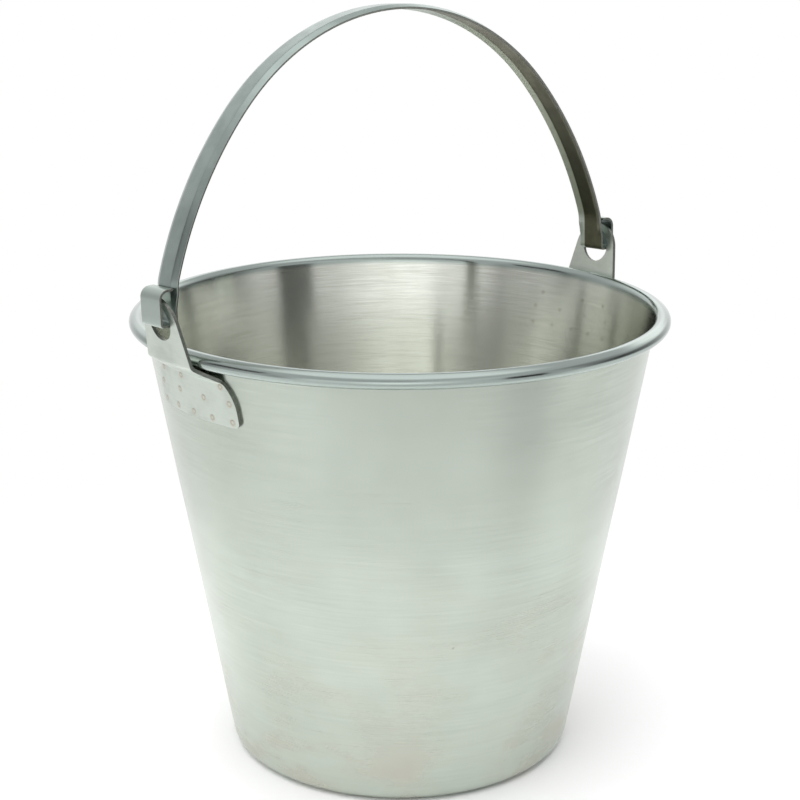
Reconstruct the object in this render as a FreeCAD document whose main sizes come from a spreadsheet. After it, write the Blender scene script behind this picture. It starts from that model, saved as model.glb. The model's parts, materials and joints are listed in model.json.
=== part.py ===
import FreeCAD, Part

import math
import os

import Sketcher
from FreeCAD import Placement, Rotation, Vector

# Stainless milk pail with a swinging strip bail, in millimetres.
# +Z is up, the origin is the centre of the resting face, and the two ears stand on the X axis.

os.makedirs("parts", exist_ok=True)
doc = FreeCAD.newDocument("milk_pail")

DIMENSIONS = {
    # drawn pail with a rolled rim
    "pail_height": 272.5,
    "rim_radius": 160.0,
    "crest_bend": 4.2,
    "rim_slope": 28.0,
    "rim_land": 1.25,
    "curl_bend": 3.9,
    "curl_turn": 225.0,
    "sheet_gauge": 0.8,
    "foot_radius": 96.5,
    "corner_radius": 9.0,
    "panel_radius": 80.0,
    "panel_rise": 3.0,
    "panel_bend": 4.0,
    "panel_slope": 40.0,
    # ears: a pad on the wall, a step out past the rim, and a plate with the bail's hole
    "ear_gauge": 2.0,
    "pad_bottom": 231.5,
    "pad_bend_height": 257.3,
    "step_slope": 57.0,
    "step_radius": 161.7,
    "step_bend": 2.0,
    "pad_half_width": 36.3,
    "pad_corner": 3.5,
    "shoulder_height": 240.7,
    "shoulder_radius": 22.3,
    "neck_fillet": 4.5,
    "neck_taper": 11.5,
    "ear_top_height": 285.7,
    "ear_top_radius": 16.35,
    "hinge_height": 288.0,
    "hole_radius": 10.2,
    # spot welds
    "weld_radius": 1.9,
    "weld_crown": 0.12,
    # bail strip
    "strip_width": 19.0,
    "strip_gauge": 1.4,
    "web_width": 11.0,
    "flange_drop": 1.75,
    "strip_bend": 2.2,
    "bail_height": 447.8,
    "crown_radius": 151.6,
    "crown_half_angle": 47.6,
    "side_radius": 229.6,
    "knuckle_radius": 25.0,
    "leg_distance": 162.8,
    "leg_end": 292.0,
    "bail_lean": 2.65,
    # hook at each end of the bail
    "hook_seat": 2.0,
    "hook_bend": 1.6,
    "hook_distance": 172.5,
    "hook_crown": 18.7,
    "curl_radius": 5.0,
    "fit_gap": 0.05,
}

sheet = doc.addObject("Spreadsheet::Sheet", "Sheet")
for row, (alias, number) in enumerate(DIMENSIONS.items(), start=1):
    sheet.set("A%d" % row, alias)
    sheet.set("B%d" % row, str(number))
    sheet.setAlias("B%d" % row, alias)
doc.recompute()


def size(alias):
    return float(sheet.get(alias))


def unit(degrees):
    return Vector(math.cos(math.radians(degrees)), math.sin(math.radians(degrees)), 0)


# ---- outlines of bent sheet ------------------------------------------------------------

class BentStrip:
    """A strip of even gauge that is followed along its middle line in a sketch's plane."""

    def __init__(self, start, heading, gauge):
        self.point = Vector(start[0], start[1], 0)
        self.heading = heading
        self.gauge = gauge
        self.left = []
        self.right = []

    def side(self, point, heading, offset):
        return point + unit(heading + 90) * offset

    def go(self, length):
        end = self.point + unit(self.heading) * length
        for edges, offset in ((self.left, self.gauge / 2), (self.right, -self.gauge / 2)):
            first = self.side(self.point, self.heading, offset)
            edges.append(Part.LineSegment(first, self.side(end, self.heading, offset)))
        self.point = end

    def bend(self, radius, turn):
        hand = math.copysign(1, turn)
        centre = self.point + unit(self.heading + 90 * hand) * radius
        stops = []
        for share in (0.0, 0.5, 1.0):
            heading = self.heading + turn * share
            stops.append((centre - unit(heading + 90 * hand) * radius, heading))
        for edges, offset in ((self.left, self.gauge / 2), (self.right, -self.gauge / 2)):
            edges.append(Part.Arc(*[self.side(point, heading, offset) for point, heading in stops]))
        self.point, self.heading = stops[2]

    def outline(self):
        """Edges in order: along the left side, across the end, back along the right side."""
        across_end = Part.LineSegment(self.left[-1].EndPoint, self.right[-1].EndPoint)
        across_start = Part.LineSegment(self.right[0].StartPoint, self.left[0].StartPoint)
        return self.left + [across_end] + self.right[::-1] + [across_start]


def polyline(points):
    corners = [Vector(x, y, 0) for x, y in points]
    return [Part.LineSegment(a, b) for a, b in zip(corners, corners[1:] + corners[:1])]


# ---- PartDesign helpers -----------------------------------------------------------------

def new_body(name):
    body = doc.addObject("PartDesign::Body", name)
    body.Label = name
    return body


def origin_plane(body, role):
    for feature in body.Origin.OriginFeatures:
        if feature.Role == role:
            return feature
    raise LookupError(role)


def add_sketch(body, name, role, geometry):
    sketch = body.newObject("Sketcher::SketchObject", name)
    sketch.AttachmentSupport = [(origin_plane(body, role), "")]
    sketch.MapMode = "FlatFace"
    for edge in geometry:
        sketch.addGeometry(edge, False)
    return sketch


def join_ends(sketch):
    """Coincident constraints wherever two edges of the sketch share an end point."""
    ends = []
    for index in range(len(sketch.Geometry)):
        for place in (1, 2):
            ends.append((index, place, sketch.getPoint(index, place)))
    for number, (index, place, point) in enumerate(ends):
        for other, other_place, other_point in ends[number + 1:]:
            if other != index and (point - other_point).Length < 1e-6:
                joint = Sketcher.Constraint("Coincident", index, place, other, other_place)
                sketch.addConstraint(joint)


def bind_radius(sketch, index, radius, expression):
    number = sketch.addConstraint(Sketcher.Constraint("Radius", index, radius))
    sketch.setExpression("Constraints[%d]" % number, expression)


def bind_offset(sketch, kind, index, place, distance, expression):
    number = sketch.addConstraint(Sketcher.Constraint(kind, -1, 1, index, place, distance))
    sketch.setExpression("Constraints[%d]" % number, expression)


def revolve(body, name, profile, angle):
    feature = body.newObject("PartDesign::Revolution", name)
    feature.Profile = profile
    feature.ReferenceAxis = (profile, ["V_Axis"])
    feature.Angle = angle
    feature.Midplane = angle < 360
    return feature


def pad(body, name, profile, width_expression):
    feature = body.newObject("PartDesign::Pad", name)
    feature.Profile = profile
    feature.Midplane = True
    feature.setExpression("Length", width_expression)
    return feature


def cut_outward(body, name, profile, base):
    """Cut the sketch through everything on the +X side, and make sure that it cuts."""
    feature = body.newObject("PartDesign::Pocket", name)
    feature.Profile = profile
    feature.Type = "ThroughAll"
    feature.Reversed = True
    doc.recompute()
    if feature.Shape.Volume > base.Shape.Volume * 0.9999:
        raise RuntimeError("%s cuts nothing" % name)
    return feature


# ---- pail -------------------------------------------------------------------------------

def crest_centre():
    """Centre of the bend at the rim's crest, placed so that the curl reaches the rim's radius."""
    slope = size("rim_slope")
    step = unit(90 - slope) * (size("crest_bend") - size("curl_bend")) + unit(-slope) * size("rim_land")
    across = size("rim_radius") - size("curl_bend") - step.x
    return Vector(across, size("pail_height") - size("crest_bend"), 0)


def wall_line():
    """Middle of the wall: the line tangent to the foot's corner and to the rim's crest."""
    corner = size("corner_radius") - size("sheet_gauge") / 2
    crest = size("crest_bend") - size("sheet_gauge") / 2
    corner_centre = Vector(size("foot_radius"), size("corner_radius"), 0)
    between = crest_centre() - corner_centre
    swing = math.asin((corner + crest) / between.Length)
    heading = math.degrees(math.atan2(between.y, between.x) + swing)
    length = between.Length * math.cos(swing)
    foot = corner_centre + unit(heading - 90) * corner
    return foot, heading, length


WALL_FOOT, WALL_HEADING, WALL_LENGTH = wall_line()


def wall_outside(height):
    """Radius of the wall's outer face at a height."""
    outside = WALL_FOOT + unit(WALL_HEADING - 90) * (size("sheet_gauge") / 2)
    return outside.x + (height - outside.y) / math.tan(math.radians(WALL_HEADING))


def make_pail():
    gauge = size("sheet_gauge")
    slope = size("panel_slope")
    bend = size("panel_bend")
    body = new_body("pail_body")
    strip = BentStrip((0, size("panel_rise") + gauge / 2), 0, gauge)
    strip.go(size("panel_radius"))
    strip.bend(bend, -slope)
    bend_drop = 2 * bend * (1 - math.cos(math.radians(slope)))
    strip.go((size("panel_rise") - bend_drop) / math.sin(math.radians(slope)))
    strip.bend(bend, slope)
    strip.go(size("foot_radius") - strip.point.x)
    corner_edge = len(strip.left)
    strip.bend(size("corner_radius") - gauge / 2, WALL_HEADING)
    strip.go(WALL_LENGTH)
    crest_edge = len(strip.left)
    strip.bend(size("crest_bend") - gauge / 2, -WALL_HEADING - size("rim_slope"))
    strip.go(size("rim_land"))
    curl_edge = len(strip.left)
    strip.bend(size("curl_bend") - gauge / 2, -size("curl_turn"))
    outline = strip.outline()
    profile = add_sketch(body, "pail_profile", "XZ_Plane", outline)
    join_ends(profile)
    last = len(outline) - 2
    crest = crest_centre()
    bind_radius(profile, crest_edge, size("crest_bend"), "Sheet.crest_bend")
    bind_radius(profile, curl_edge, size("curl_bend"), "Sheet.curl_bend")
    bind_radius(profile, last - corner_edge, size("corner_radius"), "Sheet.corner_radius")
    bind_offset(profile, "DistanceY", crest_edge, 3, crest.y, "Sheet.pail_height - Sheet.crest_bend")
    bind_offset(profile, "DistanceX", last - corner_edge, 3, size("foot_radius"), "Sheet.foot_radius")
    profile.addConstraint(Sketcher.Constraint("PointOnObject", last + 1, 1, -2))
    revolve(body, "pail_shell", profile, 360)
    return body


# ---- ears -------------------------------------------------------------------------------

def ear_profile(body):
    """Section of the ear on the X axis: pad on the wall, step past the rim, leaning plate."""
    gauge = size("ear_gauge")
    bend = size("step_bend") + gauge / 2
    lean = 90 - WALL_HEADING
    turn = size("step_slope") - lean
    bottom = size("pad_bottom")
    start = Vector(wall_outside(bottom) + size("fit_gap"), bottom, 0)
    start = start + unit(WALL_HEADING - 90) * (gauge / 2)
    setback = bend * math.tan(math.radians(turn / 2))
    wall_run = (size("pad_bend_height") - bottom) / math.cos(math.radians(lean))
    step_rise = size("step_radius") - wall_outside(size("pad_bend_height"))
    step_run = step_rise / math.sin(math.radians(size("step_slope")))
    strip = BentStrip(start, WALL_HEADING, gauge)
    strip.go(wall_run - setback)
    strip.bend(bend, -turn)
    strip.go(step_run - 2 * setback)
    strip.bend(bend, turn)
    top = size("ear_top_height") + size("ear_top_radius") + gauge
    strip.go((top - strip.point.y) / math.cos(math.radians(lean)))
    sketch = add_sketch(body, "ear_profile", "XZ_Plane", strip.outline())
    join_ends(sketch)
    bind_radius(sketch, 1, size("step_bend") + gauge, "Sheet.step_bend + Sheet.ear_gauge")
    return sketch


def ear_outline():
    """Outline of the ear seen along X: half of it, mirrored onto the other side."""
    half_width = size("pad_half_width")
    corner = size("pad_corner")
    bottom = size("pad_bottom")
    top_centre = Vector(0, size("ear_top_height"), 0)
    shoulder_centre = Vector(half_width - size("shoulder_radius"), size("shoulder_height"), 0)
    top_tangent = top_centre + unit(size("neck_taper")) * size("ear_top_radius")
    down = unit(size("neck_taper") - 90)
    # the fillet touches the neck's straight side and the shoulder's arc
    fillet = size("neck_fillet")
    reach = size("shoulder_radius") + fillet
    offset = top_tangent + unit(size("neck_taper")) * fillet - shoulder_centre
    along = -offset.dot(down) - math.sqrt(offset.dot(down) ** 2 - offset.dot(offset) + reach ** 2)
    fillet_centre = shoulder_centre + offset + down * along
    neck_end = fillet_centre - unit(size("neck_taper")) * fillet
    across = fillet_centre - shoulder_centre
    to_fillet = math.degrees(math.atan2(across.y, across.x))
    shoulder_top = shoulder_centre + unit(to_fillet) * size("shoulder_radius")
    fillet_mid = fillet_centre + (neck_end + shoulder_top - fillet_centre * 2).normalize() * fillet
    shoulder_mid = shoulder_centre + unit(to_fillet / 2) * size("shoulder_radius")
    shoulder_end = shoulder_centre + unit(0) * size("shoulder_radius")
    corner_start = Vector(half_width, bottom + corner, 0)
    corner_centre = Vector(half_width - corner, bottom + corner, 0)
    corner_mid = corner_centre + unit(-45) * corner
    corner_end = Vector(half_width - corner, bottom, 0)

    def mirrored(point):
        return Vector(-point.x, point.y, 0)

    edges = []
    for place in (lambda point: point, mirrored):
        edges.append(Part.LineSegment(place(top_tangent), place(neck_end)))
        edges.append(Part.Arc(place(neck_end), place(fillet_mid), place(shoulder_top)))
        edges.append(Part.Arc(place(shoulder_top), place(shoulder_mid), place(shoulder_end)))
        edges.append(Part.LineSegment(place(shoulder_end), place(corner_start)))
        edges.append(Part.Arc(place(corner_start), place(corner_mid), place(corner_end)))
    top = top_centre + unit(90) * size("ear_top_radius")
    edges.append(Part.Arc(top_tangent, top, mirrored(top_tangent)))
    edges.append(Part.LineSegment(corner_end, mirrored(corner_end)))
    return edges


def make_ear_blank(name):
    body = new_body(name)
    blank = revolve(body, "ear_blank", ear_profile(body), 36)
    doc.recompute()
    waste = 2 * size("pad_half_width")
    frame = polyline([(-waste, size("pad_bottom") - waste), (waste, size("pad_bottom") - waste),
                      (waste, size("pail_height") + waste), (-waste, size("pail_height") + waste)])
    trim = add_sketch(body, "ear_trim", "YZ_Plane", ear_outline() + frame)
    join_ends(trim)
    top_arc = 10
    bind_radius(trim, top_arc, size("ear_top_radius"), "Sheet.ear_top_radius")
    bind_offset(trim, "DistanceY", top_arc, 3, size("ear_top_height"), "Sheet.ear_top_height")
    trimmed = cut_outward(body, "ear_outline", trim, blank)
    hole = Part.Circle(Vector(0, size("hinge_height"), 0), Vector(0, 0, 1), size("hole_radius"))
    bore = add_sketch(body, "hinge_hole", "YZ_Plane", [hole])
    bind_radius(bore, 0, size("hole_radius"), "Sheet.hole_radius")
    bind_offset(bore, "DistanceY", 0, 3, size("hinge_height"), "Sheet.hinge_height")
    cut_outward(body, "hinge_bore", bore, trimmed)
    return body


# Spot welds by hand: how far across the pad, and how high, from the pad's lower edge up.
WELD_ROWS = (
    (3.3, (-32.0, -16.5, 0.0, 16.5, 32.0)),
    (14.0, (-32.0, -11.0, 12.0, 32.0)),
    (23.2, (-27.5, -6.7, 27.5)),
)


def weld_placement(across, height):
    """Axis of a weld: square to the wall, starting on the wall's outer face."""
    radius = wall_outside(height)
    azimuth = math.degrees(across / radius)
    turn = Rotation(Vector(0, 0, 1), azimuth)
    tilt = Rotation(Vector(0, 1, 0), 180 - WALL_HEADING)
    start = turn.multVec(Vector(radius, 0, height))
    return Placement(start, turn * tilt)


def weld_cylinders(prefix, start_gap, length_expression, radius_expression):
    cylinders = []
    for rise, places in WELD_ROWS:
        for across in places:
            cylinder = doc.addObject("Part::Cylinder", prefix)
            cylinder.setExpression("Radius", radius_expression)
            cylinder.setExpression("Height", length_expression)
            placement = weld_placement(across, size("pad_bottom") + rise)
            axis = placement.Rotation.multVec(Vector(0, 0, 1))
            placement.Base = placement.Base + axis * start_gap
            cylinder.Placement = placement
            cylinders.append(cylinder)
    return cylinders


def make_ear(side, turn):
    """One ear and its group of welds, turned about Z to its side of the pail."""
    half_turn = Placement(Vector(0, 0, 0), Rotation(Vector(0, 0, 1), turn))
    blank = make_ear_blank("%s_ear_blank" % side)
    holes = doc.addObject("Part::MultiFuse", "%s_weld_holes" % side)
    holes.Shapes = weld_cylinders("%s_hole" % side, -size("ear_gauge"), "4 * Sheet.ear_gauge",
                                  "Sheet.weld_radius + Sheet.fit_gap / 2")
    ear = doc.addObject("Part::Cut", "%s_ear" % side)
    ear.Base = blank
    ear.Tool = holes
    ear.Label = "%s_ear" % side
    ear.Placement = half_turn
    welds = doc.addObject("Part::Compound", "%s_ear_welds" % side)
    welds.Links = weld_cylinders("%s_weld" % side, size("fit_gap"), "Sheet.ear_gauge + Sheet.weld_crown",
                                 "Sheet.weld_radius")
    welds.Label = "%s_ear_welds" % side
    welds.Placement = half_turn
    return [ear, welds]


# ---- bail -------------------------------------------------------------------------------

def strip_section():
    """Shallow trough: a flat web and two flanges that slope towards the pail."""
    gauge = size("strip_gauge")
    spread = (size("strip_width") - size("web_width")) / 2
    slope = math.degrees(math.atan2(size("flange_drop"), spread))
    bend = size("strip_bend")
    setback = bend * math.tan(math.radians(slope / 2))
    flange = math.hypot(spread, size("flange_drop"))
    start = Vector(-size("strip_width") / 2, size("bail_height") - size("flange_drop"), 0)
    strip = BentStrip(start + unit(slope - 90) * (gauge / 2), slope, gauge)
    strip.go(flange - setback)
    strip.bend(bend, -slope)
    strip.go(size("web_width") - 2 * setback)
    strip.bend(bend, -slope)
    strip.go(flange - setback)
    return strip.outline()


def bail_route():
    """Outer face of half the bail: crown, side, knuckle and leg, as tangent arcs and a line."""
    crown = size("crown_radius")
    side = size("side_radius")
    knuckle = size("knuckle_radius")
    crown_centre = Vector(0, size("bail_height") - crown, 0)
    crown_end = 90 - size("crown_half_angle")
    side_centre = crown_centre + unit(crown_end) * (crown - side)
    knuckle_x = size("leg_distance") - knuckle
    side_end = math.degrees(math.acos((knuckle_x - side_centre.x) / (side - knuckle)))
    knuckle_centre = side_centre + unit(side_end) * (side - knuckle)
    leg_top = knuckle_centre + unit(0) * knuckle
    arcs = ((crown_centre, crown, 90, crown_end), (side_centre, side, crown_end, side_end),
            (knuckle_centre, knuckle, side_end, 0))
    route = []
    for centre, radius, first, last in arcs:
        stops = [centre + unit(angle) * radius for angle in (first, (first + last) / 2, last)]
        route.append(Part.Arc(*stops))
    route.append(Part.LineSegment(leg_top, Vector(leg_top.x, size("leg_end"), 0)))
    return route


def hook_outline():
    """Flat end of the strip: out through the ear's hole, up, and back over the ear's top."""
    gauge = size("strip_gauge")
    bend = size("hook_bend")
    curl = size("curl_radius")
    leg_middle = size("leg_distance") - gauge / 2
    seat_middle = size("hinge_height") - size("hook_seat") + gauge / 2
    hook_middle = size("hook_distance") - gauge / 2
    crown_middle = size("hinge_height") + size("hook_crown") - gauge / 2
    strip = BentStrip((leg_middle, size("leg_end") + gauge), -90, gauge)
    strip.go(strip.point.y - seat_middle - bend)
    strip.bend(bend, 90)
    strip.go(hook_middle - leg_middle - 2 * bend)
    strip.bend(bend, 90)
    strip.go(crown_middle - seat_middle - bend - curl)
    strip.bend(curl, 90)
    end_gap = size("fit_gap") * 10
    strip.go(strip.point.x - size("leg_distance") - end_gap)
    return strip.outline()


def make_bail():
    body = new_body("bail_handle")
    section = add_sketch(body, "strip_section", "YZ_Plane", strip_section())
    join_ends(section)
    outer_bend = size("strip_bend") + size("strip_gauge") / 2
    bind_radius(section, 1, outer_bend, "Sheet.strip_bend + Sheet.strip_gauge / 2")
    route = add_sketch(body, "bail_route", "XZ_Plane", bail_route())
    join_ends(route)
    bind_radius(route, 0, size("crown_radius"), "Sheet.crown_radius")
    bind_radius(route, 1, size("side_radius"), "Sheet.side_radius")
    bind_radius(route, 2, size("knuckle_radius"), "Sheet.knuckle_radius")
    sweep = body.newObject("PartDesign::AdditivePipe", "half_bail")
    sweep.Profile = section
    sweep.Spine = (route, ["Edge1", "Edge2", "Edge3", "Edge4"])
    sweep.Mode = "Standard"
    doc.recompute()
    hook_sketch = add_sketch(body, "hook_outline", "XZ_Plane", hook_outline())
    join_ends(hook_sketch)
    hook = pad(body, "hook", hook_sketch, "Sheet.strip_width")
    doc.recompute()
    other_half = body.newObject("PartDesign::Mirrored", "other_half")
    other_half.Originals = [sweep, hook]
    other_half.MirrorPlane = (origin_plane(body, "YZ_Plane"), [""])
    body.Tip = other_half
    lean = Rotation(Vector(1, 0, 0), -size("bail_lean"))
    hinge = Vector(0, 0, size("hinge_height"))
    body.Placement = Placement(hinge - lean.multVec(hinge), lean)
    return body


# ---- build and write --------------------------------------------------------------------

nodes = [make_pail()]
for ear_side, ear_turn in (("right", 0), ("left", 180)):
    nodes += make_ear(ear_side, ear_turn)
nodes.append(make_bail())
doc.recompute()

for thing in doc.Objects:
    if "Invalid" in thing.State or "Error" in thing.State:
        raise RuntimeError("%s failed to recompute" % thing.Label)
for node in nodes:
    if node.Shape.isNull() or not node.Shape.isValid():
        raise RuntimeError("%s has no valid shape" % node.Label)
    box = node.Shape.BoundBox
    print("%-16s %2d solids %9.0f mm3  x %.1f..%.1f  y %.1f..%.1f  z %.1f..%.1f" % (
        node.Label, len(node.Shape.Solids), node.Shape.Volume,
        box.XMin, box.XMax, box.YMin, box.YMax, box.ZMin, box.ZMax))
for node in nodes:
    node.Shape.exportStep("parts/%s.step" % node.Label)
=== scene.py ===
import json
import math

import bmesh
import bpy
from mathutils import Matrix, Vector


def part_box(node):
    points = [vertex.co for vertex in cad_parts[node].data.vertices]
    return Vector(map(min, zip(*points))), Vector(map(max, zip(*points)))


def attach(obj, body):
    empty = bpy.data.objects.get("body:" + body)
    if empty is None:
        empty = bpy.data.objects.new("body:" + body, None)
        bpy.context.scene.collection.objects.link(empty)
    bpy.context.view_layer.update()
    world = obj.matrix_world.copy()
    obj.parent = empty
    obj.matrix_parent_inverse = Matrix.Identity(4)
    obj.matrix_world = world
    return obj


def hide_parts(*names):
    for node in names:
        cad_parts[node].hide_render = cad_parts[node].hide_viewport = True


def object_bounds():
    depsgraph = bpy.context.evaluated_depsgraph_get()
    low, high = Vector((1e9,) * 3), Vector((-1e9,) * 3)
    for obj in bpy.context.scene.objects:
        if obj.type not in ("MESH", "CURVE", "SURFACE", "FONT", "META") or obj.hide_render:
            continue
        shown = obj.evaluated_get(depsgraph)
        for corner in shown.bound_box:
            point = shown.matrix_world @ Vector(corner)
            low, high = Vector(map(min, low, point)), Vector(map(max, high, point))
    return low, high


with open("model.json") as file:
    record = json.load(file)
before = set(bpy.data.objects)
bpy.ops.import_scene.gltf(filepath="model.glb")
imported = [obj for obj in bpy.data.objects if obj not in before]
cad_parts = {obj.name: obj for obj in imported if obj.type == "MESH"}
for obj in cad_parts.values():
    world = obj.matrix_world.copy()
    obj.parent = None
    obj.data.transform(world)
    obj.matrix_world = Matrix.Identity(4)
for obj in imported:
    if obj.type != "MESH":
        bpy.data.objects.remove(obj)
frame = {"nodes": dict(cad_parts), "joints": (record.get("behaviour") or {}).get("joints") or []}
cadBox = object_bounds()
hinge = Vector(frame["joints"][0]["pos_m"])
bailLean = 2.65  # degrees from upright, at rest
mergeGap = 0.000001
print("frame loaded:", sorted(frame["nodes"]))


def onlyVerts(geometry):
    return [part for part in geometry if isinstance(part, bmesh.types.BMVert)]


def onlyEdges(geometry):
    return [part for part in geometry if isinstance(part, bmesh.types.BMEdge)]


class Pen:
    # draws a chain of edges in a flat plane, in straight runs and arcs
    def __init__(self, mesh, start, heading, right, up):
        self.mesh = mesh
        self.right = Vector(right)
        self.up = Vector(up)
        self.heading = heading
        self.tip = mesh.verts.new(self.right * start[0] + self.up * start[1])

    def way(self, degrees):
        turn = math.radians(degrees)
        return self.right * math.cos(turn) + self.up * math.sin(turn)

    def go(self, length, steps=1):
        move = self.way(self.heading) * (length / steps)
        for _ in range(steps):
            made = bmesh.ops.extrude_vert_indiv(self.mesh, verts=[self.tip])
            self.tip = made["verts"][0]
            bmesh.ops.translate(self.mesh, verts=[self.tip], vec=move)

    def bend(self, radius, turn, steps=8):
        hand = math.copysign(1, turn)
        centre = self.tip.co + self.way(self.heading + 90 * hand) * radius
        made = bmesh.ops.spin(self.mesh, geom=[self.tip], cent=centre, axis=self.right.cross(self.up),
                              dvec=(0, 0, 0), angle=math.radians(turn), steps=steps, use_merge=False)
        self.tip = onlyVerts(made["geom_last"])[0]
        self.heading += turn


def finishMesh(mesh, name, finish, gauge=0.0, edge=0.0, inside=None, cutEdge=None):
    # gives a sheet its gauge, with its own finish on the inner side and on the sheared edge
    for face in mesh.faces:
        face.smooth = True
    data = bpy.data.meshes.new(name)
    mesh.to_mesh(data)
    mesh.free()
    piece = bpy.data.objects.new(name, data)
    bpy.context.scene.collection.objects.link(piece)
    data.materials.append(finish)
    if gauge:
        thick = piece.modifiers.new("gauge", "SOLIDIFY")
        thick.thickness = gauge
        thick.offset = 0
        thick.use_even_offset = True
        if inside:
            data.materials.append(inside)
            thick.material_offset = 1
        if cutEdge:
            data.materials.append(cutEdge)
            thick.material_offset_rim = len(data.materials) - 1
    if edge:
        soft = piece.modifiers.new("edge", "BEVEL")
        soft.width = edge
        soft.segments = 2
        soft.limit_method = "ANGLE"
        soft.angle_limit = math.radians(55)  # rounds the sheared edge and leaves the bends alone
        soft.harden_normals = True
    return piece


def hand(piece, body, slot, *nodes):
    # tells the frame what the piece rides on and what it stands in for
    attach(piece, body)
    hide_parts(*nodes)


class Wire:
    def __init__(self, board, socket):
        self.board = board
        self.socket = socket

    def maths(self, operation, *others):
        return self.board.node("ShaderNodeMath", {"operation": operation}, [self, *others])

    def __add__(self, other):
        return self.maths("ADD", other)

    def __sub__(self, other):
        return self.maths("SUBTRACT", other)

    def __mul__(self, other):
        return self.maths("MULTIPLY", other)

    def __truediv__(self, other):
        return self.maths("DIVIDE", other)

    def __rsub__(self, other):
        return self.board.node("ShaderNodeMath", {"operation": "SUBTRACT"}, [other, self])

    __radd__ = __add__
    __rmul__ = __mul__

    def between(self, low, high):
        # 0 below low, 1 above high, smooth in between
        settings = {"interpolation_type": "SMOOTHSTEP"}
        inputs = {0: self, 1: low, 2: high, 3: 0.0, 4: 1.0}
        return self.board.node("ShaderNodeMapRange", settings, inputs)

    def band(self, low, high, soft):
        # 1 from low to high, 0 outside
        return self.between(low - soft, low + soft) * (1 - self.between(high - soft, high + soft))


class Board:
    def __init__(self, tree):
        self.tree = tree
        tree.nodes.clear()

    def node(self, kind, settings=None, inputs=None, out=0):
        # settings are set first, then each socket gets its value or its link
        made = self.tree.nodes.new(kind)
        for name, value in (settings or {}).items():
            if name == "stops":
                ramp = made.color_ramp.elements
                while len(ramp) < len(value):
                    ramp.new(0.5)
                for stop, (place, shade) in zip(ramp, value):
                    stop.position = place
                    stop.color = (shade, shade, shade, 1)
            else:
                setattr(made, name, value)
        pairs = (inputs or {}).items() if not isinstance(inputs, list) else enumerate(inputs)
        for key, value in pairs:
            if isinstance(value, Wire):
                self.tree.links.new(value.socket, made.inputs[key])
            else:
                made.inputs[key].default_value = value
        return Wire(self, made.outputs[out]) if len(made.outputs) else None

    def blend(self, share, first, second, mode="MIX"):
        settings = {"data_type": "RGBA", "blend_type": mode, "clamp_factor": True}
        return self.node("ShaderNodeMix", settings, {0: share, 6: first, 7: second}, out=2)

    def parts(self, vector):
        return [self.node("ShaderNodeSeparateXYZ", None, [vector], out=axis) for axis in range(3)]

    def vector(self, x, y, z):
        return self.node("ShaderNodeCombineXYZ", None, [x, y, z])

    def noise(self, place, scale, detail=2.0, rough=0.5):
        inputs = {"Vector": place, "Scale": scale, "Detail": detail, "Roughness": rough}
        return self.node("ShaderNodeTexNoise", {"noise_dimensions": "3D"}, inputs)

    def gap(self, place, point):
        settings = {"operation": "DISTANCE"}
        return self.node("ShaderNodeVectorMath", settings, {0: place, 1: point}, out=1)


def rgb(red, green, blue):
    return (red, green, blue, 1.0)


def newFinish(name):
    finish = bpy.data.materials.new(name)
    finish.use_nodes = True
    return finish, Board(finish.node_tree)


def nearestGap(board, place, points):
    nearest = None
    for point in points:
        away = board.gap(place, tuple(point))
        nearest = away if nearest is None else nearest.maths("MINIMUM", away)
    return nearest


def closeFinish(board, look, colour, roughness, height):
    bump = board.node("ShaderNodeBump", None, {
        "Strength": look["reliefStrength"], "Distance": look["relief"], "Height": height})
    inputs = {"Base Color": colour, "Roughness": roughness, "Normal": bump, "Metallic": 1.0}
    inputs.update(look.get("shader", {}))
    steel = board.node("ShaderNodeBsdfPrincipled", None, inputs)
    board.node("ShaderNodeOutputMaterial", None, {"Surface": steel})


pailOutsideLook = {
    "name": "pailSteel",
    "clean": rgb(0.550, 0.604, 0.540),
    "worn": rgb(0.474, 0.520, 0.462),
    "stain": rgb(0.545, 0.525, 0.450),
    "strokes": 26,
    "lineShade": 1.9,
    "fineLines": 3000,
    "broadLines": 420,
    "roughness": 0.235,
    "reliefStrength": 0.36,
    "relief": 0.00006,
    "shader": {"Anisotropic": 0.90, "Anisotropic Rotation": 0.25},
}

# the sheet's inner side, which runs on over the rim: painted light in the pail, where its base colour is
# brighter than the outside's, and painted shade on the rim, where it is darker
pailInsideLook = {
    "name": "pailInsideSteel",
    # painted light: the same steel as the outside, given a brighter base colour inside the pail
    "clean": rgb(0.745, 0.765, 0.708),
    "worn": rgb(0.625, 0.642, 0.578),
    "stain": rgb(0.600, 0.545, 0.430),
    # painted shade: the rim's curl and lip given a darker base colour than the rest of the sheet
    "rim": rgb(0.392, 0.452, 0.428),
    "rimHeight": (0.2655, 0.2690),
    "rimRadius": (0.1540, 0.1550),
    "heat": rgb(0.330, 0.300, 0.200),
    "strokes": 34,
    "lineShade": 4.0,
    "fineLines": 2000,
    "broadLines": 340,
    "roughness": 0.150,
    "reliefStrength": 0.50,
    "relief": 0.00006,
    "shader": {"Anisotropic": 0.90, "Anisotropic Rotation": 0.25},
}


# marks that both sides of the pail's sheet share
pailMarks = {
    "broadStrokes": 14,
    "hoopStrokes": 5,
    "hoopLines": 110,
    "lineShares": (0.75, 0.22, 0.05),
    "cloudScale": 14.0,
    "cloudCover": (0.35, 0.70),
    "stainSquash": 1.8,
    "stainScale": 20.0,
    "stainCover": (0.38, 0.74),
    "stainHeight": (0.03, 0.20),
    "footHeight": (0.012, 0.050),
    "speckScale": 420.0,
    "speckCover": (0.80, 0.83),
    "speck": rgb(0.25, 0.21, 0.17),
    "scratchTurn": (0.4, 0.5, 0.3),
    "scratchScale": (1500.0, 60.0, 60.0),
    "scratchCover": (0.80, 0.84),
    "scratchPlace": (0.52, 0.66),
    "scratch": rgb(0.36, 0.37, 0.34),
    "heatReach": (0.0028, 0.0036),
}


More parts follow.
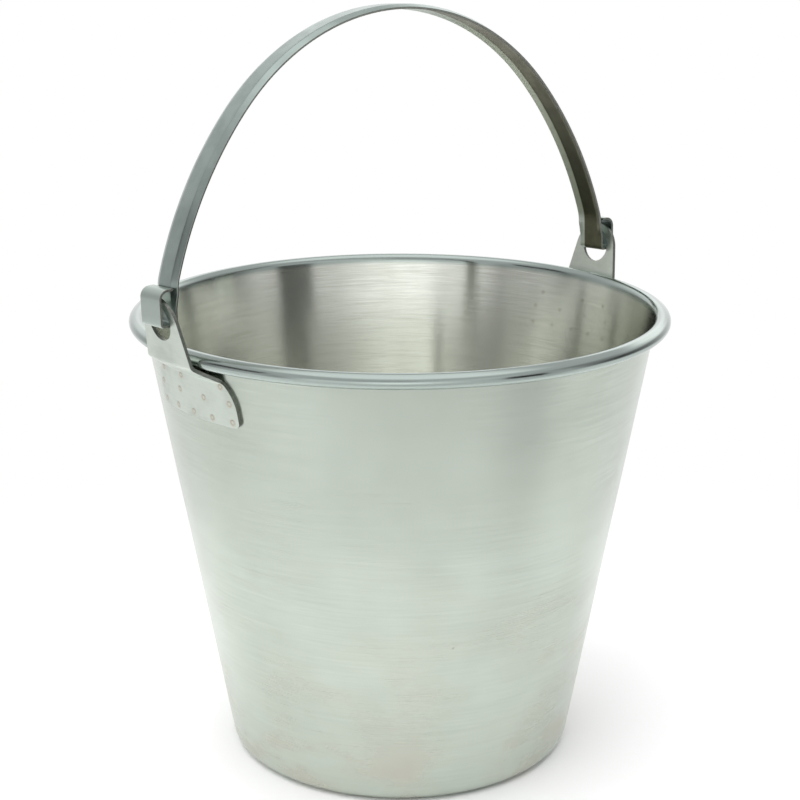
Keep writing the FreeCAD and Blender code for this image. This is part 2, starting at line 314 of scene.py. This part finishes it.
def makePailFinish(look, marks, welds=()):
    finish, board = newFinish(look["name"])
    place = board.node("ShaderNodeTexCoord", out=3)
    x, y, z = board.parts(place)
    flatPlace = board.vector(x, y, 0.0)
    radius = board.node("ShaderNodeVectorMath", {"operation": "LENGTH"}, [flatPlace], out=1)
    along = z + radius * 0.9  # runs up the wall and also out across the base

    def brushing(strokes, lines, detail, rough):
        # long strokes around the pail, close together along its side view
        return board.noise(board.vector(x * strokes, y * strokes, along * lines), 1.0, detail, rough) - 0.5

    fineShare, broadShare, hoopShare = marks["lineShares"]
    fine = brushing(look["strokes"], look["fineLines"], 3.0, 0.6)
    broad = brushing(marks["broadStrokes"], look["broadLines"], 2.0, 0.5)
    hoops = brushing(marks["hoopStrokes"], marks["hoopLines"], 2.0, 0.5)
    lines = fine * fineShare + broad * broadShare + hoops * hoopShare
    clouds = board.noise(place, marks["cloudScale"], 3.0, 0.55)
    # faint brownish water marks, most of them low on the wall
    squashed = board.vector(x, y, z * marks["stainSquash"])
    spots = board.noise(squashed, marks["stainScale"], 3.0, 0.55)
    low = 1 - z.between(*marks["stainHeight"])
    foot = 1 - z.between(*marks["footHeight"])
    stains = spots.between(*marks["stainCover"]) * (low * 0.36 + foot * 0.34 + 0.06)
    dots = board.noise(place, marks["speckScale"], 1.0, 0.5)
    specks = dots.between(*marks["speckCover"]) * (low * 0.7 + 0.15)
    # hairline scratches that cross the brushing
    tilted = board.node("ShaderNodeMapping", None, {
        "Vector": place, "Rotation": marks["scratchTurn"], "Scale": marks["scratchScale"]})
    hairs = board.noise(tilted, 1.0, 1.0, 0.5).between(*marks["scratchCover"])
    scratches = hairs * clouds.between(*marks["scratchPlace"])
    shade = clouds.between(*marks["cloudCover"]) * 0.5 + lines * look["lineShade"] + 0.1
    colour = board.blend(shade, look["clean"], look["worn"])
    colour = board.blend(stains, colour, look["stain"])
    colour = board.blend(specks, colour, marks["speck"])
    colour = board.blend(scratches * 0.45, colour, marks["scratch"])
    if welds:
        # brown heat marks on the inner wall, straight behind the welds
        behind = 1 - nearestGap(board, place, welds).between(*marks["heatReach"])
        colour = board.blend(behind * clouds * 0.8, colour, look["heat"])
    # painted shade: the rim and lip darkened from the rest of the inner side
    if "rim" in look:
        rim = z.between(*look["rimHeight"]).maths("MAXIMUM", radius.between(*look["rimRadius"]))
        colour = board.blend(rim * 0.96, colour, look["rim"])
    roughness = look["roughness"] + lines * 0.16 + (clouds - 0.5) * 0.10 + stains * 0.12
    height = lines - scratches * 1.2 + (clouds - 0.5) * 0.5
    closeFinish(board, look, colour, roughness, height)
    return finish


earFrontLook = {
    "clean": rgb(0.595, 0.650, 0.592),
    "worn": rgb(0.480, 0.525, 0.474),
    "heat": rgb(0.580, 0.555, 0.480),
    "roughness": 0.36,
    "reliefStrength": 0.30,
    "relief": 0.00005,
}

# the back of an ear, which faces the other ear: painted light, the same steel as the front with a much
# lighter base colour
earLitBackLook = {
    "clean": rgb(0.860, 0.910, 0.820),
    "worn": rgb(0.720, 0.750, 0.690),
    "heat": rgb(0.700, 0.660, 0.560),
    "roughness": 0.34,
    "reliefStrength": 0.30,
    "relief": 0.00005,
}

earMarks = {
    "grainStretch": (300, 90, 900),
    "cloudScale": 46.0,
    "cloudCover": (0.35, 0.70),
    "heatRing": (0.0013, 0.0022, 0.0005),
}


def makeEarFinish(name, look, marks, welds):
    finish, board = newFinish(name)
    place = board.node("ShaderNodeTexCoord", out=3)
    parts = board.parts(place)
    stretched = [part * stretch for part, stretch in zip(parts, marks["grainStretch"])]
    grain = board.noise(board.vector(*stretched), 1.0, 3.0, 0.6)
    clouds = board.noise(place, marks["cloudScale"], 3.0, 0.6)
    ring = nearestGap(board, place, welds).band(*marks["heatRing"])
    shade = clouds.between(*marks["cloudCover"]) * 0.7 + (grain - 0.5) * 0.5
    colour = board.blend(shade, look["clean"], look["worn"])
    colour = board.blend(ring * (clouds * 0.5 + 0.5), colour, look["heat"])
    roughness = look["roughness"] + (grain - 0.5) * 0.18 + (clouds - 0.5) * 0.16
    closeFinish(board, look, colour, roughness, grain * 0.6 + clouds * 0.8)
    return finish


# sheared edges of the ears and the bail: duller than the faces, and darker, partly as the rough cut's own
# tone and partly as painted shade of the edge and of the gap beside the pad
cutEdgeLook = {
    "clean": rgb(0.300, 0.315, 0.285),
    "worn": rgb(0.170, 0.175, 0.155),
    "grainScale": 900.0,
    "grainCover": (0.30, 0.70),
    "cloudScale": 90.0,
    "roughness": 0.46,
    "reliefStrength": 0.5,
    "relief": 0.00005,
}


def makeCutEdgeFinish(look):
    finish, board = newFinish("cutEdge")
    place = board.node("ShaderNodeTexCoord", out=3)
    grain = board.noise(place, look["grainScale"], 3.0, 0.6)
    clouds = board.noise(place, look["cloudScale"], 2.0, 0.6)
    shade = grain.between(*look["grainCover"]) * 0.6 + clouds * 0.4
    colour = board.blend(shade, look["clean"], look["worn"])
    roughness = look["roughness"] + (grain - 0.5) * 0.2
    closeFinish(board, look, colour, roughness, grain)
    return finish


weldFinishLook = {
    "centre": rgb(0.590, 0.615, 0.555),
    "ring": rgb(0.490, 0.455, 0.375),
    "ringBand": (0.42, 0.95, 0.16),
    "cloudScale": 260.0,
    "roughness": 0.40,
    "reliefStrength": 0.4,
    "relief": 0.00004,
}


def makeWeldFinish(look):
    finish, board = newFinish("weldSteel")
    place = board.node("ShaderNodeTexCoord", out=3)
    share = board.node("ShaderNodeAttribute", {"attribute_name": "ringShare"}, None, out=2)
    clouds = board.noise(place, look["cloudScale"], 2.0, 0.6)
    ring = share.band(*look["ringBand"]) * (clouds * 0.7 + 0.45)
    colour = board.blend(ring, look["centre"], look["ring"])
    roughness = look["roughness"] + (clouds - 0.5) * 0.2
    closeFinish(board, look, colour, roughness, clouds)
    return finish


bailOutsideLook = {
    "name": "bailSteel",
    "clean": rgb(0.400, 0.468, 0.444),
    "worn": rgb(0.315, 0.372, 0.350),
    "rubbedAndLit": rgb(0.600, 0.645, 0.610),
    "roughness": 0.30,
    "reliefStrength": 0.05,
    "relief": 0.00006,
}

# the underside of the bail: a dull brownish tone darkened with painted shade, but painted light on its far
# flange and where it turns up as the hook
bailShadedInsideLook = {
    "name": "bailShadedInsideSteel",
    # painted shade: a dark base colour for the side of the strip that faces down and in
    "clean": rgb(0.185, 0.184, 0.124),
    "worn": rgb(0.122, 0.118, 0.082),
    # painted light: the far flange and the hook face, on the same side of the strip, given light colours
    "rubbedAndLit": rgb(0.680, 0.730, 0.680),
    "litHookFace": rgb(0.470, 0.535, 0.495),
    "flange": (0.0054, 0.0062),
    "hook": (0.1632, 0.1645),
    "roughness": 0.36,
    "reliefStrength": 0.05,
    "relief": 0.00006,
}

bailMarks = {
    "strokes": 7,
    "lines": 2600,
    "blotchScale": 60.0,
    "blotchCover": (0.38, 0.68),
    "rubbedScale": 12.0,
    "rubbedCover": (0.55, 0.75),
}


def makeBailFinish(look, marks):
    finish, board = newFinish(look["name"])
    place = board.node("ShaderNodeTexCoord", out=3)
    fromHinge = board.node("ShaderNodeVectorMath", {"operation": "SUBTRACT"}, [place, tuple(hinge)])
    upright = board.node("ShaderNodeMapping", None, {
        "Vector": fromHinge, "Rotation": (math.radians(bailLean), 0.0, 0.0)})
    x, y, z = board.parts(upright)
    strokes = marks["strokes"]
    lines = board.noise(board.vector(x * strokes, y * marks["lines"], z * strokes), 1.0, 3.0, 0.6)
    blotches = board.noise(place, marks["blotchScale"], 4.0, 0.6)
    shade = blotches.between(*marks["blotchCover"]) * 0.7 + (lines - 0.5) * 0.4
    colour = board.blend(shade, look["clean"], look["worn"])
    # painted light on the far flange and on the hook face; elsewhere the underside keeps its painted shade
    if "flange" in look:
        hook = x.maths("ABSOLUTE").between(*look["hook"])
        colour = board.blend(y.between(*look["flange"]), colour, look["rubbedAndLit"])
        colour = board.blend(hook, colour, look["litHookFace"])
    else:
        clouds = board.noise(place, marks["rubbedScale"], 2.0, 0.5)
        colour = board.blend(clouds.between(*marks["rubbedCover"]) * 0.5, colour, look["rubbedAndLit"])
    roughness = look["roughness"] + (lines - 0.5) * 0.08 + (blotches - 0.5) * 0.12
    closeFinish(board, look, colour, roughness, lines * 0.7 + blotches * 0.6)
    return finish


pailShape = {
    "gauge": 0.0008,
    "footRadius": 0.0965,
    "cornerRadius": 0.009,
    "panelRadius": 0.080,
    "panelRise": 0.003,
    "panelBend": 0.004,
    "panelSlope": 40,
    "crestBend": 0.0042,
    "rimSlope": 28,
    "rimLand": 0.00125,
    "curlBend": 0.0039,
    "curlTurn": 225,
    "stepsAround": 256,
}


def flat(degrees):
    return Vector((math.cos(math.radians(degrees)), math.sin(math.radians(degrees))))


def wallLine(shape):
    # the middle of the wall, tangent to the foot's corner and to the rim's crest
    low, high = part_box("pail_body")
    half = shape["gauge"] / 2
    slope = shape["rimSlope"]
    step = flat(90 - slope) * (shape["crestBend"] - shape["curlBend"]) + flat(-slope) * shape["rimLand"]
    crest = Vector((high.x - shape["curlBend"] - step.x, high.z - shape["crestBend"]))
    corner = Vector((shape["footRadius"], low.z + shape["cornerRadius"]))
    between = crest - corner
    swing = math.asin((shape["cornerRadius"] + shape["crestBend"] - 2 * half) / between.length)
    heading = math.degrees(math.atan2(between.y, between.x) + swing)
    foot = corner + flat(heading - 90) * (shape["cornerRadius"] - half)
    return foot, heading, between.length * math.cos(swing)


wallFoot, wallHeading, wallLength = wallLine(pailShape)


def wallOutside(height):
    outside = wallFoot + flat(wallHeading - 90) * (pailShape["gauge"] / 2)
    return outside.x + (height - outside.y) / math.tan(math.radians(wallHeading))


def makePail(shape, finish, inside):
    half = shape["gauge"] / 2
    bend = shape["panelBend"]
    slope = shape["panelSlope"]
    mesh = bmesh.new()
    pen = Pen(mesh, (0.0, shape["panelRise"] + half), 0, (1, 0, 0), (0, 0, 1))
    pen.go(shape["panelRadius"], 12)
    pen.bend(bend, -slope, 6)
    bendDrop = 2 * bend * (1 - math.cos(math.radians(slope)))
    pen.go((shape["panelRise"] - bendDrop) / math.sin(math.radians(slope)))
    pen.bend(bend, slope, 6)
    pen.go(shape["footRadius"] - pen.tip.co.x, 2)
    pen.bend(shape["cornerRadius"] - half, wallHeading, 12)
    pen.go(0.001)
    pen.go(wallLength - 0.002, 22)
    pen.go(0.001)
    pen.bend(shape["crestBend"] - half, -wallHeading - shape["rimSlope"], 14)
    pen.go(shape["rimLand"], 2)
    pen.bend(shape["curlBend"] - half, -shape["curlTurn"], 22)
    bmesh.ops.spin(mesh, geom=mesh.verts[:] + mesh.edges[:], cent=(0, 0, 0), axis=(0, 0, 1),
                   dvec=(0, 0, 0), angle=2 * math.pi, steps=shape["stepsAround"], use_merge=True)
    bmesh.ops.remove_doubles(mesh, verts=mesh.verts[:], dist=mergeGap)
    bmesh.ops.recalc_face_normals(mesh, faces=mesh.faces[:])
    bmesh.ops.reverse_faces(mesh, faces=mesh.faces[:])
    piece = finishMesh(mesh, "pailShell", finish, shape["gauge"], 0.0, inside)
    hand(piece, "pail", "pail_steel", "pail_body")
    print("pail made")


earShape = {
    "gauge": 0.002,
    "gap": 0.00005,
    "padBottom": 0.2315,
    "padBend": 0.2573,
    "stepSlope": 57,
    "stepRadius": 0.1617,
    "stepBend": 0.002,
    "halfWidth": 0.0363,
    "padCorner": 0.0035,
    "shoulderHeight": 0.2407,
    "shoulderRadius": 0.0223,
    "neckFillet": 0.0045,
    "neckTaper": 11.5,
    "topHeight": 0.2857,
    "topRadius": 0.01635,
    "holeRadius": 0.0102,
    "cutStep": 0.003,
    "edge": 0.0003,
}


def earSection(shape):
    # the ear's side view as a chain of points: pad, step past the rim, leaning plate
    half = shape["gauge"] / 2
    bend = shape["stepBend"] + half
    lean = 90 - wallHeading
    turn = shape["stepSlope"] - lean
    bottom = shape["padBottom"]
    setback = bend * math.tan(math.radians(turn / 2))
    start = Vector((wallOutside(bottom) + shape["gap"], bottom)) + flat(wallHeading - 90) * half
    rise = shape["stepRadius"] - wallOutside(shape["padBend"])
    mesh = bmesh.new()
    pen = Pen(mesh, start, wallHeading, (1, 0, 0), (0, 0, 1))
    pen.go((shape["padBend"] - bottom) / math.cos(math.radians(lean)) - setback)
    pen.bend(bend, -turn, 10)
    pen.go(rise / math.sin(math.radians(shape["stepSlope"])) - 2 * setback)
    pen.bend(bend, turn, 10)
    pen.go(shape["topRadius"] * 4)
    section = sorted((vert.co.z, vert.co.x) for vert in mesh.verts)
    mesh.free()
    return section


def radiusAt(section, height):
    for (low, first), (high, second) in zip(section, section[1:]):
        if height <= high:
            break
    return first + (second - first) * (height - low) / (high - low)


def earOutline(mesh, shape):
    # half of the outline, from the top down to the middle of the lower edge, then its mirror image
    top = Vector((0, shape["topHeight"]))
    shoulder = Vector((shape["halfWidth"] - shape["shoulderRadius"], shape["shoulderHeight"]))
    taper = shape["neckTaper"]
    fillet = shape["neckFillet"]
    tangent = top + flat(taper) * shape["topRadius"]
    reach = shape["shoulderRadius"] + fillet
    offset = tangent + flat(taper) * fillet - shoulder
    down = flat(taper - 90)
    neck = -offset.dot(down) - math.sqrt(offset.dot(down) ** 2 - offset.dot(offset) + reach ** 2)
    centre = shoulder + offset + down * neck
    toFillet = math.degrees(math.atan2(centre.y - shoulder.y, centre.x - shoulder.x))
    pen = Pen(mesh, (0, shape["topHeight"] + shape["topRadius"]), 0, (0, 1, 0), (0, 0, 1))
    pen.bend(shape["topRadius"], taper - 90, 22)
    pen.go(neck, 3)
    pen.bend(fillet, toFillet - taper, 8)
    pen.bend(shape["shoulderRadius"], -toFillet, 16)
    pen.go(shape["shoulderHeight"] - shape["padBottom"] - shape["padCorner"], 2)
    pen.bend(shape["padCorner"], -90, 6)
    pen.go(shape["halfWidth"] - shape["padCorner"], 1)
    bmesh.ops.mirror(mesh, geom=mesh.verts[:] + mesh.edges[:], axis="Y", merge_dist=mergeGap,
                     matrix=Matrix.Identity(4))


def makeEar(name, turn, shape, finish, inside, cutEdge, node):
    mesh = bmesh.new()
    earOutline(mesh, shape)
    ring = bmesh.ops.create_circle(mesh, cap_ends=False, segments=48, radius=shape["holeRadius"])
    bmesh.ops.rotate(mesh, verts=ring["verts"], cent=(0, 0, 0), matrix=Matrix.Rotation(math.pi / 2, 3, "Y"))
    bmesh.ops.translate(mesh, verts=ring["verts"], vec=hinge)
    bmesh.ops.triangle_fill(mesh, use_beauty=True, use_dissolve=True, edges=mesh.edges[:], normal=(1, 0, 0))
    section = earSection(shape)
    bendHeights = [height for height, radius in section[1:-1]]
    cutStep = shape["cutStep"]
    evenHeights = [shape["padBottom"] + cutStep * step for step in range(1, 24)]
    cuts = [(Vector((0, 0, height)), Vector((0, 0, 1))) for height in bendHeights + evenHeights]
    cuts += [(Vector((0, cutStep * step, 0)), Vector((0, 1, 0))) for step in range(-12, 13)]
    for point, normal in cuts:
        bmesh.ops.bisect_plane(mesh, geom=mesh.verts[:] + mesh.edges[:] + mesh.faces[:], dist=0.00001,
                               plane_co=point, plane_no=normal)
    for vert in mesh.verts:
        vert.co.x = math.sqrt(radiusAt(section, vert.co.z) ** 2 - vert.co.y ** 2)
    bmesh.ops.remove_doubles(mesh, verts=mesh.verts[:], dist=0.00001)
    bmesh.ops.recalc_face_normals(mesh, faces=mesh.faces[:])
    bmesh.ops.rotate(mesh, verts=mesh.verts[:], cent=(0, 0, 0), matrix=Matrix.Rotation(turn, 3, "Z"))
    piece = finishMesh(mesh, name, finish, shape["gauge"], shape["edge"], inside, cutEdge)
    hand(piece, "pail", "ear_steel", node)


weldShape = {
    # steps out from the middle, and height over the pad there
    "radius": 0.0019,
    "rings": ((0.35, 0.00001), (0.52, 0.00006), (0.70, 0.00011), (0.86, 0.00009),
              (1.0, 0.0), (1.0, -0.0004)),
    "middleHeight": 0.00003,
    "crown": 0.00012,
    "stepsAround": 24,
}


def weldPlaces(node):
    # middle of each weld's outer end, and the direction that it faces
    copy = bmesh.new()
    copy.from_mesh(frame["nodes"][node].data)
    bmesh.ops.remove_doubles(copy, verts=copy.verts[:], dist=mergeGap)
    lean = math.radians(90 - wallHeading)
    waiting = set(copy.verts)
    places = []
    while waiting:
        group = [waiting.pop()]
        for vert in group:
            for edge in vert.link_edges:
                other = edge.other_vert(vert)
                if other in waiting:
                    waiting.remove(other)
                    group.append(other)
        middle = sum((vert.co for vert in group), Vector()) / len(group)
        away = Vector((middle.x, middle.y, 0)).normalized()
        outward = away * math.cos(lean) - Vector((0, 0, math.sin(lean)))
        reach = max((vert.co - middle).dot(outward) for vert in group)
        places.append((middle + outward * reach, outward))
    copy.free()
    return sorted(places, key=lambda place: tuple(place[0]))


def makeWelds(name, places, shape, finish, node):
    mesh = bmesh.new()
    share = mesh.verts.layers.float.new("ringShare")
    for point, outward in places:
        chain = [mesh.verts.new((0, 0, shape["middleHeight"]))]
        chain[0][share] = 0.0
        for reach, height in shape["rings"]:
            chain.append(mesh.verts.new((reach * shape["radius"], 0, height)))
            chain[-1][share] = reach
        links = [mesh.edges.new(pair) for pair in zip(chain, chain[1:])]
        before = set(mesh.verts) - set(chain)
        bmesh.ops.spin(mesh, geom=chain + links, cent=(0, 0, 0), axis=(0, 0, 1), dvec=(0, 0, 0),
                       angle=2 * math.pi, steps=shape["stepsAround"], use_merge=True)
        made = [vert for vert in mesh.verts if vert not in before]
        turn = outward.to_track_quat("Z", "Y").to_matrix()
        bmesh.ops.rotate(mesh, verts=made, cent=(0, 0, 0), matrix=turn)
        bmesh.ops.translate(mesh, verts=made, vec=point - outward * shape["crown"])
    bmesh.ops.remove_doubles(mesh, verts=mesh.verts[:], dist=0.000002)
    bmesh.ops.recalc_face_normals(mesh, faces=mesh.faces[:])
    piece = finishMesh(mesh, name, finish)
    hand(piece, "pail", "weld_steel", node)


bailShape = {
    "width": 0.019,
    "gauge": 0.0014,
    "web": 0.011,
    "drop": 0.00175,
    "bend": 0.0022,
    "height": 0.4478,
    "crownRadius": 0.1516,
    "crownHalf": 47.6,
    "sideRadius": 0.2296,
    "knuckle": 0.025,
    "legDistance": 0.1628,
    "troughEnd": 0.3030,
    "flatStart": 0.2950,
    "seat": 0.002,
    "hookBend": 0.0016,
    "hookDistance": 0.1725,
    "hookCrown": 0.0187,
    "curl": 0.005,
    "tip": 0.0005,
    "edge": 0.00025,
}


class Sweep:
    # carries one ring of edges along the bail, by straight runs and turns about lines along Y
    def __init__(self, mesh):
        self.mesh = mesh
        self.verts = mesh.verts[:]
        self.edges = mesh.edges[:]

    def keep(self, geometry):
        self.verts = onlyVerts(geometry)
        self.edges = onlyEdges(geometry)

    def turn(self, centre, degrees, steps):
        made = bmesh.ops.spin(self.mesh, geom=self.verts + self.edges, cent=centre, axis=(0, 1, 0),
                              dvec=(0, 0, 0), angle=math.radians(degrees), steps=steps, use_merge=False)
        self.keep(made["geom_last"])

    def go(self, way, steps=1):
        for _ in range(steps):
            made = bmesh.ops.extrude_edge_only(self.mesh, edges=self.edges)
            self.keep(made["geom"])
            bmesh.ops.translate(self.mesh, verts=self.verts, vec=Vector(way) / steps)

    def flatten(self, x, share):
        bmesh.ops.scale(self.mesh, verts=self.verts, vec=(share, 1, 1), space=Matrix.Translation((-x, 0, 0)))


def makeBail(shape, finish, inside, cutEdge):
    half = shape["gauge"] / 2
    mesh = bmesh.new()
    spread = (shape["width"] - shape["web"]) / 2
    slope = math.degrees(math.atan2(shape["drop"], spread))
    setback = shape["bend"] * math.tan(math.radians(slope / 2))
    flange = math.hypot(spread, shape["drop"]) - setback
    start = Vector((-shape["width"] / 2, shape["height"] - shape["drop"])) + flat(slope - 90) * half
    pen = Pen(mesh, start, slope, (0, 1, 0), (0, 0, 1))
    pen.go(flange, 3)
    pen.bend(shape["bend"], -slope, 4)
    pen.go(shape["web"] - 2 * setback, 6)
    pen.bend(shape["bend"], -slope, 4)
    pen.go(flange, 3)
    strip = Sweep(mesh)
    crownZ = shape["height"] - shape["crownRadius"]
    crownEnd = 90 - shape["crownHalf"]
    side = Vector((0, crownZ)) + flat(crownEnd) * (shape["crownRadius"] - shape["sideRadius"])
    reach = shape["sideRadius"] - shape["knuckle"]
    sideEnd = math.degrees(math.acos((shape["legDistance"] - shape["knuckle"] - side.x) / reach))
    knuckle = side + flat(sideEnd) * reach
    strip.turn((0, 0, crownZ), shape["crownHalf"], 24)
    strip.turn((side.x, 0, side.y), crownEnd - sideEnd, 26)
    strip.turn((knuckle.x, 0, knuckle.y), sideEnd, 6)
    legX = shape["legDistance"] - half
    strip.go((0, 0, shape["troughEnd"] - knuckle.y), 6)
    steps = 6
    for step in range(steps):
        strip.go((0, 0, (shape["flatStart"] - shape["troughEnd"]) / steps))
        strip.flatten(legX, (steps - 1 - step) / (steps - step) if step < steps - 1 else 0.0)
    seatZ = hinge.z - shape["seat"] + half
    hookX = shape["hookDistance"] - half
    topZ = hinge.z + shape["hookCrown"] - half
    bend = shape["hookBend"]
    strip.go((0, 0, seatZ + bend - shape["flatStart"]), 3)
    strip.turn((legX + bend, 0, seatZ + bend), -90, 6)
    strip.go((hookX - legX - 2 * bend, 0, 0), 3)
    strip.turn((hookX - bend, 0, seatZ + bend), -90, 6)
    strip.go((0, 0, topZ - seatZ - bend - shape["curl"]), 4)
    strip.turn((hookX - shape["curl"], 0, topZ - shape["curl"]), -90, 10)
    strip.go((shape["legDistance"] + shape["tip"] - (hookX - shape["curl"]), 0, 0), 1)
    bmesh.ops.mirror(mesh, geom=mesh.verts[:] + mesh.edges[:] + mesh.faces[:], axis="X",
                     merge_dist=mergeGap, matrix=Matrix.Identity(4))
    bmesh.ops.remove_doubles(mesh, verts=mesh.verts[:], dist=mergeGap)
    bmesh.ops.recalc_face_normals(mesh, faces=mesh.faces[:])
    bmesh.ops.rotate(mesh, verts=mesh.verts[:], cent=hinge,
                     matrix=Matrix.Rotation(math.radians(-bailLean), 3, "X"))
    piece = finishMesh(mesh, "bailStrip", finish, shape["gauge"], shape["edge"], inside, cutEdge)
    hand(piece, "bail", "bail_steel", "bail_handle")
    print("bail made")


# put the object together
sides = (("right", 0), ("left", math.pi))
allWelds = {side: weldPlaces(side + "_ear_welds") for side, turn in sides}
weldPoints = [point for side, turn in sides for point, outward in allWelds[side]]
pailOutside = makePailFinish(pailOutsideLook, pailMarks)
pailInside = makePailFinish(pailInsideLook, pailMarks, weldPoints)
makePail(pailShape, pailOutside, pailInside)
weldFinish = makeWeldFinish(weldFinishLook)
cutEdgeFinish = makeCutEdgeFinish(cutEdgeLook)
for side, turn in sides:
    points = [point for point, outward in allWelds[side]]
    earFront = makeEarFinish(side + "EarSteel", earFrontLook, earMarks, points)
    earBack = makeEarFinish(side + "EarBackSteel", earLitBackLook, earMarks, points)
    makeEar(side + "Ear", turn, earShape, earFront, earBack, cutEdgeFinish, side + "_ear")
    makeWelds(side + "Welds", allWelds[side], weldShape, weldFinish, side + "_ear_welds")
print("ears and welds made")
bailOutside = makeBailFinish(bailOutsideLook, bailMarks)
bailInside = makeBailFinish(bailShadedInsideLook, bailMarks)
makeBail(bailShape, bailOutside, bailInside, cutEdgeFinish)


studio = {
    "floorRadius": 0.56,
    "fadeStart": 0.17,
    "floorShade": rgb(0.95, 0.95, 0.95),
    "floorCloud": rgb(0.92, 0.92, 0.92),
    "floorGap": 0.0002,
    "lampTarget": (0, 0, 0.1),
    "keyPlace": (-1.7, 0.1, 1.9),
    "keySize": (3.0, 3.0),
    "keyPower": 31,
    "topPlace": (0.1, 0.1, 2.4),
    "topSize": (3.4, 3.4),
    "topPower": 38,
}

# brightness of the room by heading, listed by share of a full turn that starts behind the
# camera, then level. It lights the pail and the floor, and the camera itself sees plain white
room = {
    "turn": 39.8,
    "low": ((0.0, 1.60), (0.03, 1.50), (0.06, 1.15), (0.10, 1.10), (0.14, 0.46), (0.17, 0.70),
            (0.21, 0.58), (0.24, 0.28), (0.27, 0.50), (0.30, 0.62), (0.36, 0.60), (0.46, 1.00),
            (0.54, 1.05), (0.60, 0.75), (0.66, 0.28), (0.72, 0.06), (0.77, 0.30), (0.80, 0.64),
            (0.828, 0.60), (0.834, 0.0), (0.876, 0.0), (0.884, 0.68), (0.92, 0.86), (0.96, 1.3),
            (1.0, 1.60)),
    "middle": ((0.0, 0.48), (0.06, 0.60), (0.13, 0.72), (0.160, 0.60), (0.168, 0.02), (0.238, 0.02),
               (0.246, 0.43), (0.30, 0.57), (0.36, 0.82), (0.42, 1.10), (0.47, 1.38), (0.54, 1.55),
               (0.60, 1.55), (0.65, 0.90), (0.71, 0.44), (0.78, 0.33), (0.83, 0.64), (0.90, 0.92),
               (0.97, 0.78), (1.0, 0.48)),
    "ground": ((0.0, 0.78), (0.083, 0.92), (0.167, 1.08), (0.25, 1.00), (0.50, 0.95), (0.65, 1.00),
               (0.694, 1.05), (0.76, 0.98), (0.811, 0.68), (0.86, 0.78), (0.906, 0.85),
               (0.95, 0.78), (1.0, 0.78)),
    "high": 0.70,
    "overhead": 1.35,
    # heights, as the sine of the angle over the floor, where one level gives way to the next
    "groundTop": (-0.30, -0.16),
    "lowTop": (0.14, 0.32),
    "middleTop": (0.46, 0.60),
    "highTop": (0.80, 0.93),
}


def makeFloor(look):
    mesh = bmesh.new()
    bmesh.ops.create_circle(mesh, cap_ends=True, segments=96, radius=look["floorRadius"])
    bmesh.ops.translate(mesh, verts=mesh.verts[:], vec=(0, 0, cadBox[0][2] - look["floorGap"]))
    finish, board = newFinish("paleFloor")
    place = board.node("ShaderNodeTexCoord", out=3)
    away = board.node("ShaderNodeVectorMath", {"operation": "LENGTH"}, [place], out=1)
    clouds = board.noise(place, 3.0, 2.0, 0.5)
    colour = board.blend(clouds * 0.3, look["floorShade"], look["floorCloud"])
    matt = board.node("ShaderNodeBsdfDiffuse", None, {"Color": colour})
    clear = board.node("ShaderNodeBsdfTransparent")
    fade = away.between(look["fadeStart"], look["floorRadius"] * 0.98)
    both = board.node("ShaderNodeMixShader", None, {0: fade, 1: matt, 2: clear})
    board.node("ShaderNodeOutputMaterial", None, {"Surface": both})
    floor = finishMesh(mesh, "floor", finish)


def softLight(name, place, target, dimensions, power):
    lamp = bpy.data.lights.new(name, "AREA")
    lamp.shape = "RECTANGLE"
    lamp.size, lamp.size_y = dimensions
    lamp.energy = power
    holder = bpy.data.objects.new(name, lamp)
    bpy.context.scene.collection.objects.link(holder)
    holder.location = place
    holder.rotation_euler = (Vector(target) - Vector(place)).to_track_quat("-Z", "Y").to_euler()
    holder.visible_camera = False
    holder.visible_glossy = False


def makeSurroundings(look):
    world = bpy.data.worlds.new("surroundings")
    bpy.context.scene.world = world
    world.use_nodes = True
    board = Board(world.node_tree)
    way = board.node("ShaderNodeTexCoord", out=0)
    x, y, z = board.parts(way)
    heading = x.maths("ARCTAN2", y) / (2 * math.pi) + (0.5 - look["turn"] / 360)
    share = heading.maths("FRACT")
    low = board.node("ShaderNodeValToRGB", {"stops": look["low"]}, [share])
    middle = board.node("ShaderNodeValToRGB", {"stops": look["middle"]}, [share])
    ground = board.node("ShaderNodeValToRGB", {"stops": look["ground"]}, [share])
    aboveGround = z.between(*look["groundTop"])
    aboveLow = z.between(*look["lowTop"])
    aboveMiddle = z.between(*look["middleTop"])
    aboveHigh = z.between(*look["highTop"])
    level = low * (1 - aboveLow) + middle * aboveLow
    level = level * (1 - aboveMiddle) + aboveMiddle * look["high"]
    level = level + aboveHigh * (look["overhead"] - look["high"])
    level = level * aboveGround + (1 - aboveGround) * ground
    soft = board.node("ShaderNodeBackground", None, {"Color": rgb(1, 1, 1), "Strength": level})
    plain = board.node("ShaderNodeBackground", None, {"Color": rgb(1, 1, 1), "Strength": 1.0})
    seen = board.node("ShaderNodeLightPath", out=0)
    both = board.node("ShaderNodeMixShader", None, {0: seen, 1: soft, 2: plain})
    board.node("ShaderNodeOutputWorld", None, {"Surface": both})


makeFloor(studio)
for lampName in ("key", "top"):
    softLight(lampName + "Light", studio[lampName + "Place"], studio["lampTarget"],
              studio[lampName + "Size"], studio[lampName + "Power"])
makeSurroundings(room)
print("floor and light made")

view = {
    "place": (-0.6601, -0.7923, 0.5111),
    "heading": 39.8,
    "pitch": 16.09,
    "lens": 79.87,
    "sensor": 36.0,
}
lens = bpy.data.cameras.new("camera")
lens.lens = view["lens"]
lens.sensor_width = view["sensor"]
camera = bpy.data.objects.new("camera", lens)
bpy.context.scene.collection.objects.link(camera)
camera.location = view["place"]
camera.rotation_euler = (math.radians(90 - view["pitch"]), 0, math.radians(-view["heading"]))
bpy.context.scene.camera = camera
bpy.context.scene.view_settings.view_transform = "Standard"
